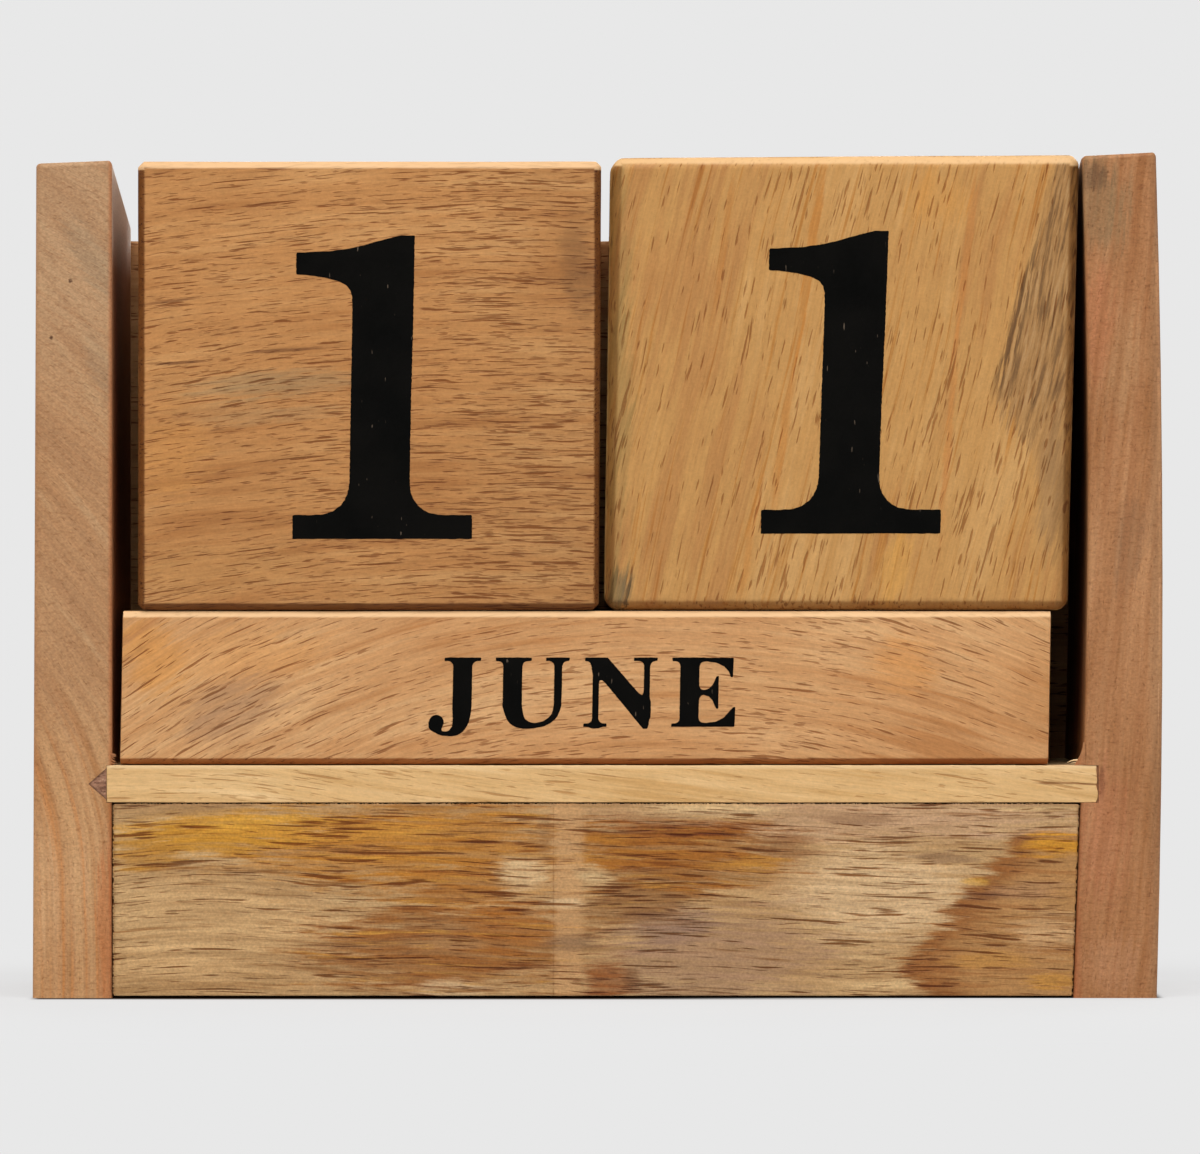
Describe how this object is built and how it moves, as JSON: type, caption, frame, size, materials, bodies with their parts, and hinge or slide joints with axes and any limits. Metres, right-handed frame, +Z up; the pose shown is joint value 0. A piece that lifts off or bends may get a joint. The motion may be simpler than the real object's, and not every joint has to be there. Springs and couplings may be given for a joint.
{
  "type": "desk calendar with drawer",
  "caption": "Wooden block calendar: a slanted-sided case holding lift-out date cubes over sliding four-sided month bars, with a flush drawer below.",
  "frame": {"origin": "centre of the bounding box at the surface it stands on", "axes": "+X right, +Y from the front to the back, +Z up"},
  "size_m": [0.15, 0.07, 0.1123],
  "materials": {
    "side_wood": "planed and hand-rubbed with wax, low sheen",
    "shelf_wood": "pale planed wood, low sheen",
    "filler": "dull brown wood filler",
    "back_wood": "planed, low sheen",
    "spalted_wood": "figured wood with fine dark lines, low sheen",
    "drawer_wood": "plain planed wood, dull",
    "cube_wood_left": "sanded wood with short dark pores, satin",
    "cube_wood_right": "sanded wood with long streaks, satin",
    "bar_wood": "sanded wood with slanting pores, satin",
    "ink": "black printing ink, satin"
  },
  "bodies": {
    "case": {"side_left": "side_wood", "side_right": "side_wood", "shelf": "shelf_wood", "wood_filler": "filler", "back_panel": "back_wood", "base_board": "shelf_wood"},
    "drawer": {"drawer_front": "spalted_wood", "drawer_side_left": "drawer_wood", "drawer_side_right": "drawer_wood", "drawer_back": "drawer_wood", "drawer_bottom": "drawer_wood"},
    "date_cube_left": {"cube_left": "cube_wood_left"},
    "date_cube_right": {"cube_right": "cube_wood_right"},
    "bar_front": {"month_bar_front": "bar_wood"},
    "bar_middle": {"month_bar_middle": "bar_wood"},
    "bar_rear": {"month_bar_rear": "bar_wood"}
  },
  "joints": [
    {"name": "drawer_slide", "type": "slide", "parent": "case", "child": "drawer", "axis": [0, -1, 0], "range_m": [0, 0.042]},
    {"name": "left_cube_lift", "type": "slide", "parent": "case", "child": "date_cube_left", "axis": [0, 0, 1], "range_m": [0, 0.065]},
    {"name": "right_cube_lift", "type": "slide", "parent": "case", "child": "date_cube_right", "axis": [0, 0, 1], "range_m": [0, 0.065]},
    {"name": "rear_bar_slide", "type": "slide", "parent": "case", "child": "bar_rear", "axis": [0, -1, 0], "range_m": [0, 0.063]},
    {"name": "middle_bar_slide", "type": "slide", "parent": "bar_rear", "child": "bar_middle", "axis": [0, -1, 0], "range_m": [0, 0.042]},
    {"name": "front_bar_slide", "type": "slide", "parent": "bar_middle", "child": "bar_front", "axis": [0, -1, 0], "range_m": [0, 0.025]}
  ]
}
